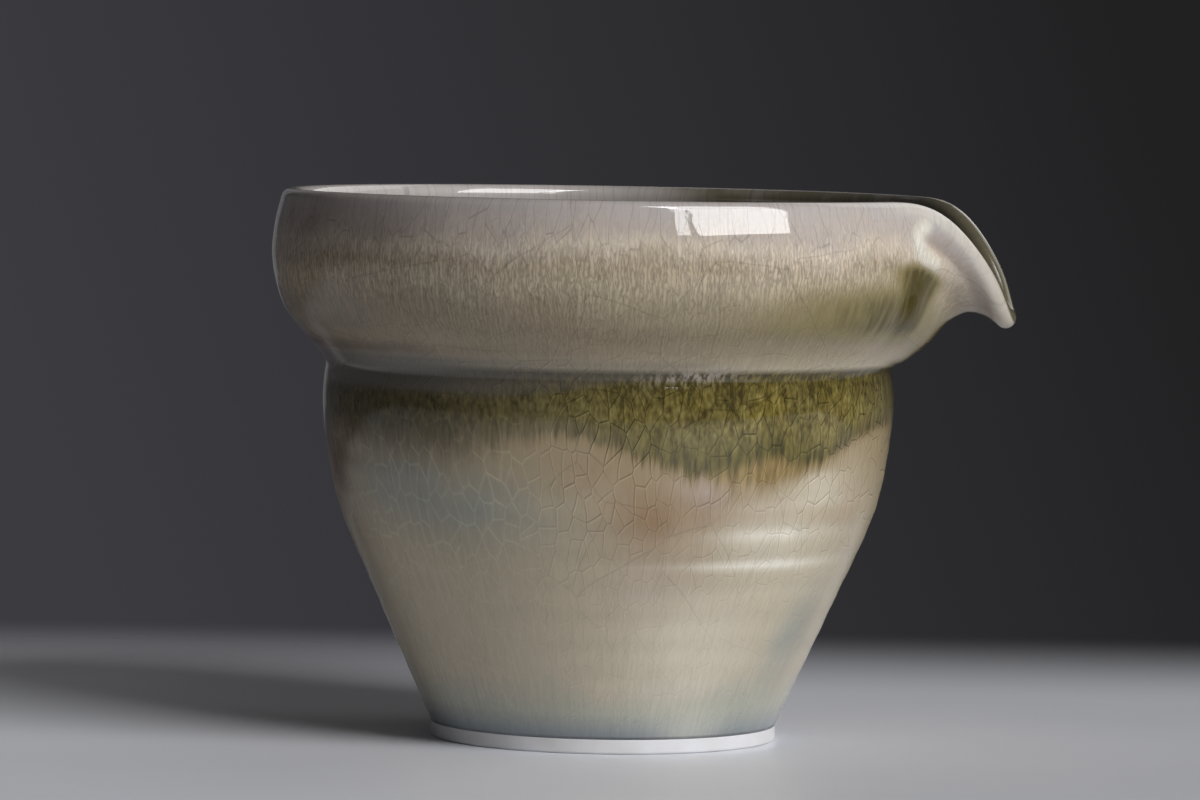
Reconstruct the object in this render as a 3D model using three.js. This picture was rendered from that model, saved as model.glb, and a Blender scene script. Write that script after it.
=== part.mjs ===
// A small one-piece porcelain tea pitcher: a tapered bowl, a rolled collar and a spout pulled from its rim.
// Millimetres, +Z up, +X towards the spout. It stands on Z = 0, with the origin at the middle of its footprint.
import * as THREE from "three";

// Outside of the glazed pot, where the wall is plain
const height = 71;
const rimRadius = 43;
const rimShoulderSwell = 0.8;
const rimShoulderDrop = 4.5;
const collarRadius = 44.1;
const collarDrop = 9;
const neckRadius = 36.9;
const neckHeight = 48.6;
const neckRound = 1.5;
const bellySwell = 0.35;
const bellyDrop = 5.6;
const shoulderRadius = 35.5;
const shoulderHeight = 31.5;
const taperRadius = 29.6;
const taperHeight = 17.5;
const glazeLineRadius = 22.5;
const glazeLineHeight = 1.9;

// The collar's underside, as shares of its way out and up from the neck to its widest
const collarUnderside = [
  [0.1, 0.075],
  [0.375, 0.25],
  [0.79, 0.55],
];

// Wall, glaze included
const rimThickness = 2.8;
const wallThickness = 3.2;
const footThickness = 4.6;
const floorHeight = 5.2;

// Glaze coats
const glazeThickness = 0.6;
const rimGlazeThickness = 0.35;
const neckPoolThickness = 0.6;
const neckPoolSpread = 4;
const linerThickness = 0.45;
const floorPoolThickness = 0.35;
const glazeRollLength = 1.4;

// Bare foot ring and the recess turned inside it
const footRingWidth = 3;
const footBevel = 0.4;
const recessDepth = 1.4;
const recessDish = 0.5;
const recessGlazeThickness = 0.3;
const recessGlazeMargin = 1.2;

// The spout's lip, and the underside behind it, as shares of its way out from the neck and up to the arch's top
const lipReach = 51;
const lipRise = 6.2;
const archRise = 7.9;
const keel = [
  [0.16, 0.2],
  [0.36, 0.5],
  [0.53, 0.835],
  [0.715, 1],
  [0.88, 0.935],
];

// Width of the spout as an angle either side of its middle, at the neck and at the rim
const spoutRootAngle = 9;
const spoutLipAngle = 12.6;
const spoutRootDropAngle = 9;
const spoutLipDropAngle = 8.6;
const spoutStart = 0.16;

// Valley beside the spout, and the dent that each finger leaves in it
const valleyAngle = 15;
const valleySpread = 5;
const valleyDepth = 1;
const dentAngle = 11;
const dentAngleSpread = 3.6;
const dentDrop = 7;
const dentHeightSpread = 2.6;
const dentDepth = 0.9;

// Facets
const spoutSector = 24;
const spoutColumns = 24;
const restColumns = 32;
const rollRows = 2;
const lowerRows = 6;
const neckRows = 3;
const collarRows = 8;
const floorRows = 3;
const linerRows = 3;
const rimRows = 4;

const degrees = THREE.MathUtils.degToRad;
const mix = THREE.MathUtils.lerp;
const smoothstep = THREE.MathUtils.smoothstep;
const bell = (distance, spread) => Math.exp(-((distance / spread) ** 2));

function smoothCurve(stations) {
  const points = stations.map(([radius, z]) => new THREE.Vector3(radius, 0, z));
  return new THREE.CatmullRomCurve3(points, false, "centripetal");
}

// The plain wall's outside, from the glaze line up to the neck
const neck = [neckRadius, neckHeight];
const lowerStations = [
  [glazeLineRadius, glazeLineHeight],
  [taperRadius, taperHeight],
  [shoulderRadius, shoulderHeight],
  [neckRadius + bellySwell, neckHeight - bellyDrop],
  [neckRadius + bellySwell / 2, neckHeight - neckRound],
];

// The collar above it. Its wall leans inwards at the rim, so its outside ends less than half a wall below the crest.
const collarHeight = height - collarDrop;
const rimHalf = rimThickness / 2;
const rimLean = Math.atan2(rimShoulderSwell, rimShoulderDrop - rimHalf);
const rimEdgeHeight = height - rimHalf * (1 - Math.sin(rimLean));
const collarStations = [
  ...collarUnderside.map(([out, up]) => [mix(neckRadius, collarRadius, out), mix(neckHeight, collarHeight, up)]),
  [collarRadius, collarHeight],
  [rimRadius + rimShoulderSwell, height - rimShoulderDrop],
  [rimRadius, rimEdgeHeight],
];
const plainStations = [...lowerStations, neck, ...collarStations];
const plainCurve = smoothCurve(plainStations);

const keelStations = keel.map(([out, up]) => [mix(neckRadius, lipReach, out), neckHeight + archRise * up]);
const keelCurve = smoothCurve([neck, ...keelStations, [lipReach, neckHeight + lipRise]]);

// Where the neck lies, as a share of the plain wall's length
const lengthSteps = 50;
const spans = plainStations.length - 1;
const lengths = plainCurve.getLengths(spans * lengthSteps);
const wallLength = lengths[lengths.length - 1];
const neckShare = lengths[lowerStations.length * lengthSteps] / wallLength;
const rollShare = glazeRollLength / wallLength;

// Angles of the columns round the pot, close together across the spout
const columnAngles = [];
for (let i = 0; i < spoutColumns; i++)
  columnAngles.push(degrees(mix(-spoutSector, spoutSector, i / spoutColumns)));
for (let i = 0; i < restColumns; i++)
  columnAngles.push(degrees(mix(spoutSector, 360 - spoutSector, i / restColumns)));

// Full thickness of the glazed wall at a share of its length: thick at the foot, thin at the rim
function thicknessAt(share) {
  const lower = mix(footThickness, wallThickness, smoothstep(share, 0, neckShare));
  return mix(lower, rimThickness, smoothstep(share, neckShare, 1));
}

// Outer glaze: an even coat that thins over the rim, pools under the collar and rolls off at the glaze line
function outerGlazeAt(share) {
  const even = mix(glazeThickness, rimGlazeThickness, smoothstep(share, neckShare, 1));
  const belowNeck = (neckShare - share) * wallLength - neckPoolSpread / 2;
  const pooled = even + neckPoolThickness * bell(belowNeck, neckPoolSpread);
  const roll = Math.min(share / rollShare, 1);
  return pooled * Math.sqrt(1 - (1 - roll) ** 2);
}

function linerGlazeAt(share) {
  return mix(linerThickness, rimGlazeThickness, smoothstep(share, neckShare, 1));
}

// A point on the centreline of a wall whose outside is this curve, as [radius, height]
function centreline(curve, at, thickness) {
  const outside = curve.getPointAt(at);
  const along = curve.getTangentAt(at);
  const half = thickness / 2;
  return [outside.x - along.z * half, outside.z + along.x * half];
}

// How far a place on the wall has been pulled into the spout, outwards or downwards, from 0 to 1
function pull(turn, rise, rootAngle, lipAngle) {
  return bell(turn, degrees(mix(rootAngle, lipAngle, rise))) * smoothstep(rise, 0, spoutStart);
}

// The middle of the wall, at an angle round the pot and a share of the way from glaze line to rim
function wallCentre(angle, share) {
  const [plainRadius, plainZ] = centreline(plainCurve, share, thicknessAt(share));
  const rise = (share - neckShare) / (1 - neckShare);
  let radius = plainRadius;
  let z = plainZ;
  if (rise > 0) {
    const turn = Math.abs(Math.atan2(Math.sin(angle), Math.cos(angle)));
    const [keelRadius, keelZ] = centreline(keelCurve, rise, thicknessAt(share));
    const outwards = pull(turn, rise, spoutRootAngle, spoutLipAngle);
    const downwards = pull(turn, rise, spoutRootDropAngle, spoutLipDropAngle);
    const valley = bell(turn - degrees(valleyAngle), degrees(valleySpread)) * Math.sin(Math.PI * rise);
    const dentAcross = bell(turn - degrees(dentAngle), degrees(dentAngleSpread));
    const dentUp = bell(plainZ - (height - dentDrop), dentHeightSpread);
    radius = mix(plainRadius, keelRadius, outwards) - valleyDepth * valley - dentDepth * dentAcross * dentUp;
    z = mix(plainZ, keelZ, downwards);
  }
  return new THREE.Vector3(radius * Math.cos(angle), radius * Math.sin(angle), z);
}

// The wall's centre there, the direction up along it and the direction out through it
function wallFrame(angle, share) {
  const step = 1e-3;
  const low = Math.max(share - step, 0);
  const high = Math.min(share + step, 1);
  const up = wallCentre(angle, high).sub(wallCentre(angle, low)).normalize();
  const round = wallCentre(angle + step, share).sub(wallCentre(angle - step, share));
  const out = round.cross(up).normalize();
  return { centre: wallCentre(angle, share), up, out };
}

// A ring is one turn of points round the pot. Its level tells which of two rings is the higher on the wall.
function ringOf(level, pointAt) {
  return { level, points: columnAngles.map(pointAt) };
}

function wallRing(share, offset) {
  return ringOf(share, (angle) => {
    const { centre, out } = wallFrame(angle, share);
    return centre.addScaledVector(out, offset);
  });
}

// A ring on the rounded rim: turn is 90 on the outside, 0 on the crest and -90 on the inside.
// Of two rings at one turn, the outer one counts as the higher.
function rimRing(turn, radius) {
  const level = 1 + (90 - turn) / 180 + radius / 1000;
  return ringOf(level, (angle) => {
    const { centre, up, out } = wallFrame(angle, 1);
    centre.addScaledVector(out, radius * Math.sin(degrees(turn)));
    return centre.addScaledVector(up, radius * Math.cos(degrees(turn)));
  });
}

// A ring of the floor or the foot. All of them count as lower than the wall, and the more so the nearer the axis.
function lathedRing(radius, z) {
  const level = radius / 1000 - 1;
  return ringOf(level, (angle) => new THREE.Vector3(radius * Math.cos(angle), radius * Math.sin(angle), z));
}

function axisPoint(z) {
  return { level: -1, points: [new THREE.Vector3(0, 0, z)] };
}

// Shares of the wall's length from one place to another, both ends included
function sharesBetween(from, to, rows) {
  return Array.from({ length: rows + 1 }, (_, i) => mix(from, to, i / rows));
}

const neckReach = (2 * neckRound) / wallLength;
const outerShares = [
  ...sharesBetween(0, rollShare, rollRows),
  ...sharesBetween(rollShare, neckShare - neckReach, lowerRows).slice(1),
  ...sharesBetween(neckShare - neckReach, neckShare + neckReach, neckRows).slice(1),
  ...sharesBetween(neckShare + neckReach, 1, collarRows).slice(1),
];

const clayOuterOffset = (share) => thicknessAt(share) / 2 - outerGlazeAt(share);
const clayInnerOffset = (share) => linerGlazeAt(share) - thicknessAt(share) / 2;
const rimClayRadius = rimThickness / 2 - rimGlazeThickness;

// Inside the pot the wall runs down to this share of its length, and a curved floor closes it
const floorShare = neckShare * 0.3;
const innerShares = [
  ...sharesBetween(floorShare, neckShare - neckReach, linerRows),
  ...sharesBetween(neckShare - neckReach, neckShare + neckReach, neckRows).slice(1),
  ...sharesBetween(neckShare + neckReach, 1, collarRows).slice(1),
];

// Rings of the floor from the middle out to the wall, along one curve that leaves the axis level
function floorRings(middleHeight, offsetAt) {
  const wallPoint = (share) => {
    const { centre, out } = wallFrame(Math.PI, share);
    const point = centre.addScaledVector(out, offsetAt(share));
    return new THREE.Vector2(Math.hypot(point.x, point.y), point.z);
  };
  const edge = wallPoint(floorShare);
  const slope = edge.clone().sub(wallPoint(floorShare * 1.05)).normalize();
  const handle = (edge.y - middleHeight) * 0.8;
  const curve = new THREE.CubicBezierCurve(
    new THREE.Vector2(0, middleHeight),
    new THREE.Vector2(edge.x * 0.62, middleHeight),
    edge.clone().addScaledVector(slope, handle),
    edge,
  );
  return sharesBetween(0, 1, floorRows)
    .slice(0, -1)
    .map((at) => {
      const point = curve.getPoint(at);
      return at === 0 ? axisPoint(point.y) : lathedRing(point.x, point.y);
    });
}

const clayFloor = floorRings(floorHeight - linerThickness - floorPoolThickness, clayInnerOffset);
const linerFloor = floorRings(floorHeight, (share) => -thicknessAt(share) / 2);

// Stitches two neighbouring rings together. The diagonals follow the level, so that two solids which share
// a surface share its triangles too, and they lean the other way on the far half, so that both halves match.
function stitch(faces, a, b) {
  const count = Math.max(a.points.length, b.points.length);
  for (let i = 0; i < count; i++) {
    const next = (i + 1) % count;
    const [a0, a1] = a.points.length === 1 ? [a.points[0], a.points[0]] : [a.points[i], a.points[next]];
    const [b0, b1] = b.points.length === 1 ? [b.points[0], b.points[0]] : [b.points[i], b.points[next]];
    const rightHalf = columnAngles[i] >= 0 && columnAngles[i] < Math.PI - 1e-9;
    const lean = a.level < b.level === rightHalf;
    const pair = lean ? [[a0, a1, b1], [a0, b1, b0]] : [[a0, a1, b0], [a1, b1, b0]];
    faces.push(...pair.filter(([p, q, r]) => p !== q && q !== r && r !== p));
  }
}

// One closed surface through the rings, which run so that the outside is on the right of their path
function solidOf(rings, closesOnItself) {
  const faces = [];
  for (let i = 1; i < rings.length; i++) stitch(faces, rings[i - 1], rings[i]);
  if (closesOnItself) stitch(faces, rings[rings.length - 1], rings[0]);
  const geometry = new THREE.BufferGeometry().setFromPoints(faces.flat());
  geometry.computeVertexNormals();
  return geometry;
}

function porcelainBody() {
  const outer = outerShares.map((share) => wallRing(share, clayOuterOffset(share)));
  const inner = innerShares.map((share) => wallRing(share, clayInnerOffset(share)));
  const rimTurns = sharesBetween(90, -90, rimRows).slice(1, -1);
  return solidOf([
    ...footRings(),
    ...outer,
    ...rimTurns.map((turn) => rimRing(turn, rimClayRadius)),
    ...inner.reverse(),
    ...clayFloor.slice().reverse(),
  ]);
}

// The foot from the middle of its recess out to the bare band below the glaze line
const glazeLine = new THREE.Vector2();
{
  const { centre, out } = wallFrame(Math.PI, 0);
  centre.addScaledVector(out, clayOuterOffset(0));
  glazeLine.set(Math.hypot(centre.x, centre.y), centre.z);
}
const footRadius = glazeLine.x;
const recessRadius = footRadius - footRingWidth;
const recessEdge = recessRadius - recessGlazeMargin;
const recessTop = recessDepth + recessDish;

function recessRings() {
  return [
    axisPoint(recessTop),
    lathedRing(recessEdge / 2, recessDepth + recessDish * 0.75),
    lathedRing(recessEdge, recessDepth),
  ];
}

function footRings() {
  return [
    ...recessRings(),
    lathedRing(recessRadius - footBevel, recessDepth - footBevel),
    lathedRing(recessRadius, footBevel),
    lathedRing(recessRadius + footBevel, 0),
    lathedRing(footRadius - footBevel, 0),
    lathedRing(footRadius, footBevel),
  ];
}

function outerGlaze() {
  const face = outerShares.map((share) => wallRing(share, thicknessAt(share) / 2));
  const seat = outerShares.map((share) => wallRing(share, clayOuterOffset(share)));
  const outsideTurns = sharesBetween(90, 0, rimRows / 2).slice(1);
  return solidOf(
    [
      ...seat.slice(0, 1),
      ...face.slice(1),
      ...outsideTurns.map((turn) => rimRing(turn, rimThickness / 2)),
      ...outsideTurns.map((turn) => rimRing(turn, rimClayRadius)).reverse(),
      ...seat.slice(1).reverse(),
    ],
    true,
  );
}

function innerGlaze() {
  const face = innerShares.map((share) => wallRing(share, -thicknessAt(share) / 2));
  const seat = innerShares.map((share) => wallRing(share, clayInnerOffset(share)));
  const insideTurns = sharesBetween(0, -90, rimRows / 2).slice(0, -1);
  return solidOf([
    ...clayFloor,
    ...seat,
    ...insideTurns.map((turn) => rimRing(turn, rimClayRadius)).reverse(),
    ...insideTurns.map((turn) => rimRing(turn, rimThickness / 2)),
    ...face.reverse(),
    ...linerFloor.slice().reverse(),
  ]);
}

function baseGlaze() {
  const drop = recessGlazeThickness;
  return solidOf([
    axisPoint(recessTop - drop),
    lathedRing(recessEdge / 2, recessDepth + recessDish * 0.75 - drop),
    lathedRing(recessEdge - drop, recessDepth - drop),
    ...recessRings().reverse(),
  ]);
}

const finishes = {
  porcelain: { color: "#e8e4dc", roughness: 0.75, metalness: 0 },
  ashGlaze: { color: "#9a8f74", roughness: 0.12, metalness: 0 },
  linerGlaze: { color: "#aba394", roughness: 0.12, metalness: 0 },
};

function piece(name, geometry, finish) {
  const mesh = new THREE.Mesh(geometry, new THREE.MeshStandardMaterial(finish));
  mesh.name = name;
  return mesh;
}

const pot = new THREE.Group();
pot.add(
  piece("porcelain_body", porcelainBody(), finishes.porcelain),
  piece("outer_glaze", outerGlaze(), finishes.ashGlaze),
  piece("inner_glaze", innerGlaze(), finishes.linerGlaze),
  piece("base_glaze", baseGlaze(), finishes.linerGlaze),
);

// The spout reaches further than the back, so the pot's axis lies behind the middle of the footprint
const middle = new THREE.Box3().setFromObject(pot, true).getCenter(new THREE.Vector3());
pot.position.x = -middle.x;

const pitcher = new THREE.Group();
pitcher.add(pot);

export default pitcher;
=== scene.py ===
# A small thrown porcelain tea pitcher under a crackled ash glaze, on a pale table in soft window light.
# Blender works in metres, the dictionaries in millimetres and degrees where they don't say otherwise.
# The spout points along +X.
import math
from functools import partial

import bpy
import numpy as np
from mathutils import Matrix, Vector


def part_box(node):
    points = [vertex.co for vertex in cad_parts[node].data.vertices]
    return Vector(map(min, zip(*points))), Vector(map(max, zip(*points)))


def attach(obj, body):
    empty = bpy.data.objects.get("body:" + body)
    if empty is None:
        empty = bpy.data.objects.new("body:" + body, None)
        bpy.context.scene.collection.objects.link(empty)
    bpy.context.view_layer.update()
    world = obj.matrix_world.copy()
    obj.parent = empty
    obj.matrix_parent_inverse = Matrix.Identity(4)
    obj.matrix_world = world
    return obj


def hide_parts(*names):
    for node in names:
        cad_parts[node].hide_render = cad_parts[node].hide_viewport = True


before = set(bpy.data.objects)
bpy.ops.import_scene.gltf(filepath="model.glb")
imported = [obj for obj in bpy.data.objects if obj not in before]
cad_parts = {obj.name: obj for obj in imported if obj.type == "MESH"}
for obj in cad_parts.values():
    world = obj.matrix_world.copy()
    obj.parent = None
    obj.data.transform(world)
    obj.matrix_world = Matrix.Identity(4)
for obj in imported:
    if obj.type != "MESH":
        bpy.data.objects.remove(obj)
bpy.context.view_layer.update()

mm = 0.001

# The pot's own axis stands behind the middle of its footprint, because the spout reaches forward
baseLow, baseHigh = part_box("base_glaze")
axisX = (baseLow[0] + baseHigh[0]) / 2


def mix(a, b, share):
    # straight blend: a at share 0, b at share 1
    return a + (b - a) * share


def smoothstep(x, low, high):
    # eased ramp, 3t^2 - 2t^3 of the share t of the way: 0 at low, 1 at high, level at both ends
    t = np.clip((x - low) / (high - low), 0, 1)
    return t * t * (3 - 2 * t)


def between(x, start, full, fading, end):
    # eased plateau, one ramp times what another leaves: 0 at start, 1 from full to fading, 0 from end on
    return smoothstep(x, start, full) * (1 - smoothstep(x, fading, end))


def bell(x, spread, middle=0):
    # Gaussian hump: 1 in its middle, 0.37 one spread away
    return np.exp(-(((x - middle) / spread) ** 2))


# The wall's shape, as in the solids
wall = {
    "height": 71, "rimRadius": 43, "rimSwell": 0.8, "rimDrop": 4.5, "rimThickness": 2.8,
    "collarRadius": 44.1, "collarDrop": 9, "underside": [[0.1, 0.075], [0.375, 0.25], [0.79, 0.55]],
    "neckRadius": 36.9, "neckHeight": 48.6, "neckRound": 1.5, "bellySwell": 0.35, "bellyDrop": 5.6,
    "lower": [[22.5, 1.9], [29.6, 17.5], [35.5, 31.5]],  # glaze line, taper, shoulder
    "footThickness": 4.6, "wallThickness": 3.2, "floorHeight": 5.2, "floorShare": 0.3,
    "floorHandles": (0.62, 0.8),  # of the floor's curve, as shares of its radius and of its drop
    "standIn": 0.05,  # the fine surface lies this far inside the faceted one
}
# The keel is as in the solids, the valleys and the dents beside it are shallower and the dents higher
spout = {
    "reach": 51, "rise": 6.2, "archRise": 7.9,
    "keel": [[0.16, 0.2], [0.36, 0.5], [0.53, 0.835], [0.715, 1], [0.88, 0.935]],
    "rootAngle": 9, "lipAngle": 12.6, "rootDropAngle": 9, "lipDropAngle": 8.6, "start": 0.16,
    "valleyAngle": 15, "valleySpread": 5, "valleyDepth": 0.35,
    "dentAngle": 12, "dentAngleSpread": 4.2, "dentDrop": 4.3, "dentHeightSpread": 1.7, "dentDepth": 0.55,
    # The crescent beside the dent: its places are in spreads of the dent, its height in mm
    "dentRing": 1.5, "dentRingSpread": 0.4, "dentRingSide": (-0.1, 0.8), "dentRingLean": 0.35,
    "dentRingHeight": 0.26,
}
glaze = {
    "thickness": 0.6, "rimThickness": 0.35, "poolThickness": 0.6, "poolSpread": 4,
    "linerThickness": 0.45, "floorPoolThickness": 0.35, "rollLength": 1.4,
}
foot = {
    "ringWidth": 3, "bevel": 0.4, "recessDepth": 1.4, "recessDish": 0.5,
    "recessGlaze": 0.3, "recessMargin": 1.2, "recessPool": 0.5, "recessCells": 0.6,
}
relief = {
    "ridgePitch": 3.9, "ridgeDepth": 0.03, "ridgeHeights": (4, 12, 34, 44), "skinDepth": 0.025,
    "stepDepth": 0.09, "stepDrops": (-2, 1, 2, 12), "stepWaver": 0.12,  # drops from the pool's edge
    "reliefHeights": (2, 6, 64, 69),
    "run": 7, "runBeside": 7.6, "besideHump": (26, 52), "runBehind": 3.5, "behindTurns": (85, 115),
    "runWaver": 0.8,
}
meshing = {
    "spoutSector": 24, "spoutColumns": 120, "restColumns": 200,
    "outerRows": 140, "rimRows": 14, "innerRows": 80, "floorRows": 14,
    "seatRimRows": 6, "seatFloorRows": 6, "recessRows": 8, "bevelRows": 4,
    # Hidden and plain surfaces take one row or column in so many
    "outerSeatEvery": 7, "innerSeatEvery": 8, "bareColumnsEvery": 2, "bareRowsEvery": 3,
}
curveSteps = 80  # points worked out between two stations


def curveThrough(points):
    # Centripetal Catmull-Rom curve: a cubic over each span whose end slopes come from the neighbouring
    # points, weighted by the square root of their distances. Returns its points and the length up to each.
    p = np.array(points, float)
    p = np.vstack([2 * p[0] - p[1], p, 2 * p[-1] - p[-2]])
    gap = np.linalg.norm(np.diff(p, axis=0), axis=1)[:, None] ** 0.5
    p0, p1, p2, p3 = p[:-3], p[1:-2], p[2:-1], p[3:]
    d0, d1, d2 = gap[:-2], gap[1:-1], gap[2:]
    slope1 = ((p1 - p0) / d0 - (p2 - p0) / (d0 + d1) + (p2 - p1) / d1) * d1
    slope2 = ((p2 - p1) / d1 - (p3 - p1) / (d1 + d2) + (p3 - p2) / d2) * d1
    t = (np.arange(curveSteps) / curveSteps)[None, :, None]
    ends = (2 * t**3 - 3 * t**2 + 1) * p1[:, None] + (3 * t**2 - 2 * t**3) * p2[:, None]
    slopes = (t**3 - 2 * t**2 + t) * slope1[:, None] + (t**3 - t**2) * slope2[:, None]
    path = np.vstack([(ends + slopes).reshape(-1, 2), p[-2]])
    length = np.concatenate([[0], np.cumsum(np.linalg.norm(np.diff(path, axis=0), axis=1))])
    return path, length


def alongCurve(curve, share):
    # Radius, height and unit direction at a share of the curve's length, by linear interpolation
    path, length = curve
    at = np.asarray(share) * length[-1]
    direction = np.gradient(path, length, axis=0)
    values = [np.interp(at, length, column) for column in (*path.T, *direction.T)]
    size = np.hypot(values[2], values[3])
    return values[0], values[1], values[2] / size, values[3] / size


def wallCurves():
    # The collar's stations are shares of its way out and up from the neck, the keel's of the lip's reach and
    # the arch's rise. Returns the plain wall's curve, the keel's, and the neck's share of the plain one.
    neckRadius, neckHeight, height = wall["neckRadius"], wall["neckHeight"], wall["height"]
    collarRadius, collarHeight = wall["collarRadius"], height - wall["collarDrop"]
    rimRadius, rimHalf = wall["rimRadius"], wall["rimThickness"] / 2
    rimLean = math.atan2(wall["rimSwell"], wall["rimDrop"] - rimHalf)
    neck = [neckRadius, neckHeight]
    lower = [*wall["lower"], [neckRadius + wall["bellySwell"], neckHeight - wall["bellyDrop"]],
             [neckRadius + wall["bellySwell"] / 2, neckHeight - wall["neckRound"]]]
    collar = [[mix(neckRadius, collarRadius, out), mix(neckHeight, collarHeight, up)]
              for out, up in wall["underside"]]
    collar += [[collarRadius, collarHeight], [rimRadius + wall["rimSwell"], height - wall["rimDrop"]],
               [rimRadius, height - rimHalf * (1 - math.sin(rimLean))]]
    keel = [[mix(neckRadius, spout["reach"], out), neckHeight + spout["archRise"] * up]
            for out, up in spout["keel"]]
    plain = curveThrough([*lower, neck, *collar])
    keel = curveThrough([neck, *keel, [spout["reach"], neckHeight + spout["rise"]]])
    return plain, keel, plain[1][len(lower) * curveSteps] / plain[1][-1]


plainCurve, keelCurve, neckShare = wallCurves()
wallLength = plainCurve[1][-1]
floorShare = neckShare * wall["floorShare"]


def thicknessAt(share):
    # eased from the foot's thickness to the wall's at the neck, and from there to the rim's
    lower = mix(wall["footThickness"], wall["wallThickness"], smoothstep(share, 0, neckShare))
    return mix(lower, wall["rimThickness"], smoothstep(share, neckShare, 1))


def outerGlazeAt(share):
    # an even coat that eases to the rim's, a Gaussian pool under the collar, and a quarter circle's roll at
    # the glaze line
    even = mix(glaze["thickness"], glaze["rimThickness"], smoothstep(share, neckShare, 1))
    belowNeck = (neckShare - share) * wallLength - glaze["poolSpread"] / 2
    pooled = even + glaze["poolThickness"] * bell(belowNeck, glaze["poolSpread"])
    roll = np.minimum(share * wallLength / glaze["rollLength"], 1)
    return pooled * np.sqrt(1 - (1 - roll) ** 2)


def linerGlazeAt(share):
    # the liner's thickness, easing to the rim's from the neck up
    return mix(glaze["linerThickness"], glaze["rimThickness"], smoothstep(share, neckShare, 1))


def centreline(curve, share, thickness):
    # half the wall's thickness inwards from its outside curve
    radius, height, alongRadius, alongHeight = alongCurve(curve, share)
    return radius - alongHeight * thickness / 2, height + alongRadius * thickness / 2


def pull(turn, rise, rootAngle, lipAngle):
    # a Gaussian hump round the spout, of another width at the lip than at the neck, eased in above the neck
    return bell(turn, np.radians(mix(rootAngle, lipAngle, rise))) * smoothstep(rise, 0, spout["start"])


def dentAt(side, level):
    # A finger pressed in beside the spout: a Gaussian hollow, and a crescent of clay raised by it, a
    # Gaussian ring kept on the side away from the spout. side is in degrees from the spout, either way.
    across = (side - spout["dentAngle"]) / spout["dentAngleSpread"]
    up = (level - wall["height"] + spout["dentDrop"]) / spout["dentHeightSpread"]
    away = np.hypot(across, up)
    crescent = bell(away, spout["dentRingSpread"], spout["dentRing"])
    crescent = crescent * smoothstep(across - spout["dentRingLean"] * up, *spout["dentRingSide"])
    return bell(away, 1), crescent


def wallCentre(angle, share):
    # Plain wall turned round the axis, blended into the spout's keel within the hump, pressed in by the
    # valleys and the finger dents beside it and raised by the dents' crescents. angle and share are grids of
    # one shape.
    thickness = thicknessAt(share)
    plainRadius, plainHeight = centreline(plainCurve, share, thickness)
    rise = np.clip((share - neckShare) / (1 - neckShare), 0, None)
    turn = np.abs(np.arctan2(np.sin(angle), np.cos(angle)))
    keelRadius, keelHeight = centreline(keelCurve, np.clip(rise, 0, 1), thickness)
    outwards = pull(turn, rise, spout["rootAngle"], spout["lipAngle"])
    downwards = pull(turn, rise, spout["rootDropAngle"], spout["lipDropAngle"])
    valley = bell(turn - np.radians(spout["valleyAngle"]), np.radians(spout["valleySpread"]))
    valley = valley * np.sin(np.pi * np.clip(rise, 0, 1))
    dent, crescent = dentAt(np.degrees(turn), plainHeight)
    pressed = spout["valleyDepth"] * valley + spout["dentDepth"] * dent - spout["dentRingHeight"] * crescent
    radius = mix(plainRadius, keelRadius, outwards) - pressed
    height = mix(plainHeight, keelHeight, downwards)
    return np.stack([radius * np.cos(angle), radius * np.sin(angle), height], axis=-1)


def unit(v):
    # each vector over its length
    return v / np.linalg.norm(v, axis=-1, keepdims=True)


def wallFrame(angle, share):
    # the wall's centre, and the unit directions up along it and out through it, by central differences
    step = 1e-3
    above, below = np.minimum(share + step, 1), np.maximum(share - step, 0)
    up = unit(wallCentre(angle, above) - wallCentre(angle, below))
    around = wallCentre(angle + step, share) - wallCentre(angle - step, share)
    return wallCentre(angle, share), up, unit(np.cross(around, up))


def columnAngles(every=1):
    # close together across the spout, even round the rest
    sector = meshing["spoutSector"]
    near = np.linspace(-sector, sector, meshing["spoutColumns"] // every, endpoint=False)
    rest = np.linspace(sector, 360 - sector, meshing["restColumns"] // every, endpoint=False)
    return np.radians(np.concatenate([near, rest]))


def wallRings(angles, shares, offsetAt):
    # rings of places on the wall: its centre, and the offset there along its outward direction
    angle, share = np.meshgrid(angles, shares)
    centre, _, out = wallFrame(angle, share)
    return centre + out * offsetAt(angle, share)[..., None]


def rimRings(angles, turns, radius):
    # half circles over the wall's top, by sine and cosine: 90 degrees outside, 0 on the crest, -90 inside
    angle, turn = np.meshgrid(angles, np.radians(turns))
    centre, up, out = wallFrame(angle, np.ones_like(angle))
    return centre + radius * (out * np.sin(turn)[..., None] + up * np.cos(turn)[..., None])


def lathedRings(angles, profile):
    # a profile of radius and height turned round the axis
    radius, height = np.array(profile, float).T[:, :, None]
    return np.stack([radius * np.cos(angles), radius * np.sin(angles), height + 0 * angles], axis=-1)


def floorRings(angles, middleHeight, offsetAt, rows):
    # cubic Bezier profile that leaves the axis level and joins the wall in its own direction
    levelShare, joinShare = wall["floorHandles"]
    back, nearby = np.array([np.pi]), 1.05  # the second gives the wall's direction
    edge, above = (wallRings(back, np.array([floorShare * up]), offsetAt)[0, 0] for up in (1, nearby))
    edge, above = (np.array([-place[0], place[2]]) for place in (edge, above))
    middle, handle = np.array([0, middleHeight]), np.array([edge[0] * levelShare, middleHeight])
    join = edge + unit(edge - above) * (edge[1] - middleHeight) * joinShare
    t = (np.arange(rows) / rows)[:, None]
    inner = (1 - t) ** 3 * middle + 3 * (1 - t) ** 2 * t * handle
    return lathedRings(angles, inner + 3 * (1 - t) * t**2 * join + t**3 * edge)


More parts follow.
